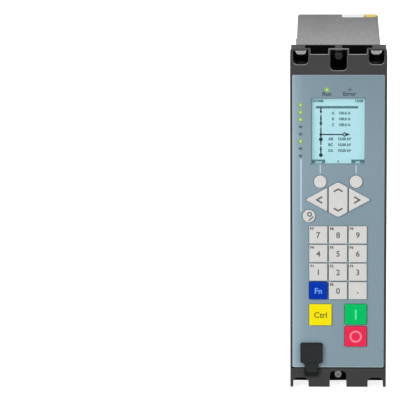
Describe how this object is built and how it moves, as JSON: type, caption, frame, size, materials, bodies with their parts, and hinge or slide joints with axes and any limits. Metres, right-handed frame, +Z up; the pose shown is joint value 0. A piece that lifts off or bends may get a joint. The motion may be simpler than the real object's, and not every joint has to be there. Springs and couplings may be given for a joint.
{
  "type": "protection relay",
  "caption": "Narrow flush-mounted protection relay with a display, status lamps, a keypad and command keys on a black-framed front, in a sheet-metal housing with rear terminals.",
  "frame": {"origin": "middle of the four panel slots, on the back face of the front frame's mounting flange", "axes": "+Z up along the frame's height, +Y back along the housing and away from the operator, +X to the operator's right"},
  "size_m": [0.075, 0.2347, 0.2696],
  "materials": {
    "frame_black": "fine moulded grain",
    "panel_bluegrey": "satin",
    "window_clear": "polished",
    "display_glass": "backlit",
    "key_light": "satin",
    "key_blue": "satin",
    "key_yellow": "satin",
    "key_green": "satin",
    "key_red": "satin",
    "lamp_lit": "lit from behind",
    "lamp_dark": "unlit",
    "rubber_black": "matt",
    "housing_steel": "zinc-coated sheet",
    "screw_steel": "zinc-plated",
    "socket_metal": "tinned",
    "earth_brass": "bright",
    "board_green": "solder mask",
    "block_black": "glass-filled",
    "dome_film": "satin",
    "potted_core": "potted",
    "relay_blue": "moulded",
    "core_dark": "ferrite"
  },
  "bodies": {
    "case": {"front_frame": "frame_black", "front_panel": "panel_bluegrey", "display_window": "window_clear", "display_module": "display_glass", "run_lamp": "lamp_lit", "error_lamp": "lamp_dark", "status_lamp_1": "lamp_lit", "status_lamp_2": "lamp_lit", "status_lamp_3": "lamp_lit", "status_lamp_4": "lamp_dark", "status_lamp_5": "lamp_dark", "status_lamp_6": "lamp_lit", "status_lamp_7": "lamp_dark", "status_lamp_8": "lamp_dark", "rocker_pivot": "block_black", "operator_board": "board_green", "dome_sheet": "dome_film", "service_socket": "socket_metal", "cap_anchor": "rubber_black", "frame_screws": "screw_steel", "housing": "housing_steel", "rear_plate": "housing_steel", "rear_screws": "screw_steel", "current_terminals": "block_black", "signal_terminals_left": "block_black", "signal_terminals_right": "block_black", "clamp_screws": "screw_steel", "network_sockets": "socket_metal", "earth_screw": "earth_brass", "main_board": "board_green", "supply_board": "board_green", "board_connector": "block_black", "current_transformer_1": "potted_core", "current_transformer_2": "potted_core", "current_transformer_3": "potted_core", "current_transformer_4": "potted_core", "output_relays": "relay_blue", "supply_transformer": "core_dark"},
    "key_7_body": {"key_7": "key_light"},
    "key_8_body": {"key_8": "key_light"},
    "key_9_body": {"key_9": "key_light"},
    "key_4_body": {"key_4": "key_light"},
    "key_5_body": {"key_5": "key_light"},
    "key_6_body": {"key_6": "key_light"},
    "key_1_body": {"key_1": "key_light"},
    "key_2_body": {"key_2": "key_light"},
    "key_3_body": {"key_3": "key_light"},
    "key_fn_body": {"key_fn": "key_blue"},
    "key_0_body": {"key_0": "key_light"},
    "key_point_body": {"key_point": "key_light"},
    "key_ctrl_body": {"key_ctrl": "key_yellow"},
    "key_close_body": {"key_close": "key_green"},
    "key_open_body": {"key_open": "key_red"},
    "soft_key_left_body": {"soft_key_left": "key_light"},
    "soft_key_right_body": {"soft_key_right": "key_light"},
    "arrow_key_left_body": {"arrow_key_left": "key_light"},
    "arrow_key_right_body": {"arrow_key_right": "key_light"},
    "lamp_reset_key_body": {"lamp_reset_key": "key_light"},
    "rocker_body": {"up_down_rocker": "key_light"},
    "service_cap_body": {"service_cap": "rubber_black"}
  },
  "joints": [
    {"name": "key_7_press", "type": "slide", "parent": "case", "child": "key_7_body", "axis": [0, 1, 0], "range_m": [0, 0.0008], "stiffness_N_per_m": 600},
    {"name": "key_8_press", "type": "slide", "parent": "case", "child": "key_8_body", "axis": [0, 1, 0], "range_m": [0, 0.0008], "stiffness_N_per_m": 600},
    {"name": "key_9_press", "type": "slide", "parent": "case", "child": "key_9_body", "axis": [0, 1, 0], "range_m": [0, 0.0008], "stiffness_N_per_m": 600},
    {"name": "key_4_press", "type": "slide", "parent": "case", "child": "key_4_body", "axis": [0, 1, 0], "range_m": [0, 0.0008], "stiffness_N_per_m": 600},
    {"name": "key_5_press", "type": "slide", "parent": "case", "child": "key_5_body", "axis": [0, 1, 0], "range_m": [0, 0.0008], "stiffness_N_per_m": 600},
    {"name": "key_6_press", "type": "slide", "parent": "case", "child": "key_6_body", "axis": [0, 1, 0], "range_m": [0, 0.0008], "stiffness_N_per_m": 600},
    {"name": "key_1_press", "type": "slide", "parent": "case", "child": "key_1_body", "axis": [0, 1, 0], "range_m": [0, 0.0008], "stiffness_N_per_m": 600},
    {"name": "key_2_press", "type": "slide", "parent": "case", "child": "key_2_body", "axis": [0, 1, 0], "range_m": [0, 0.0008], "stiffness_N_per_m": 600},
    {"name": "key_3_press", "type": "slide", "parent": "case", "child": "key_3_body", "axis": [0, 1, 0], "range_m": [0, 0.0008], "stiffness_N_per_m": 600},
    {"name": "key_fn_press", "type": "slide", "parent": "case", "child": "key_fn_body", "axis": [0, 1, 0], "range_m": [0, 0.0008], "stiffness_N_per_m": 600},
    {"name": "key_0_press", "type": "slide", "parent": "case", "child": "key_0_body", "axis": [0, 1, 0], "range_m": [0, 0.0008], "stiffness_N_per_m": 600},
    {"name": "key_point_press", "type": "slide", "parent": "case", "child": "key_point_body", "axis": [0, 1, 0], "range_m": [0, 0.0008], "stiffness_N_per_m": 600},
    {"name": "key_ctrl_press", "type": "slide", "parent": "case", "child": "key_ctrl_body", "axis": [0, 1, 0], "range_m": [0, 0.0008], "stiffness_N_per_m": 600},
    {"name": "key_close_press", "type": "slide", "parent": "case", "child": "key_close_body", "axis": [0, 1, 0], "range_m": [0, 0.0008], "stiffness_N_per_m": 600},
    {"name": "key_open_press", "type": "slide", "parent": "case", "child": "key_open_body", "axis": [0, 1, 0], "range_m": [0, 0.0008], "stiffness_N_per_m": 600},
    {"name": "soft_key_left_press", "type": "slide", "parent": "case", "child": "soft_key_left_body", "axis": [0, 1, 0], "range_m": [0, 0.0008], "stiffness_N_per_m": 600},
    {"name": "soft_key_right_press", "type": "slide", "parent": "case", "child": "soft_key_right_body", "axis": [0, 1, 0], "range_m": [0, 0.0008], "stiffness_N_per_m": 600},
    {"name": "arrow_key_left_press", "type": "slide", "parent": "case", "child": "arrow_key_left_body", "axis": [0, 1, 0], "range_m": [0, 0.0008], "stiffness_N_per_m": 600},
    {"name": "arrow_key_right_press", "type": "slide", "parent": "case", "child": "arrow_key_right_body", "axis": [0, 1, 0], "range_m": [0, 0.0008], "stiffness_N_per_m": 600},
    {"name": "lamp_reset_key_press", "type": "slide", "parent": "case", "child": "lamp_reset_key_body", "axis": [0, 1, 0], "range_m": [0, 0.0008], "stiffness_N_per_m": 600},
    {"name": "rocker_tilt", "type": "hinge", "parent": "case", "child": "rocker_body", "pos_m": [-0.0002, -0.01825, 0.01597], "axis": [1, 0, 0], "range_deg": [-2, 2], "stiffness_Nm_per_rad": 0.3},
    {"name": "service_cap_flip", "type": "hinge", "parent": "case", "child": "service_cap_body", "pos_m": [-0.02085, -0.02365, -0.12108], "axis": [1, 0, 0], "range_deg": [0, 110]}
  ]
}
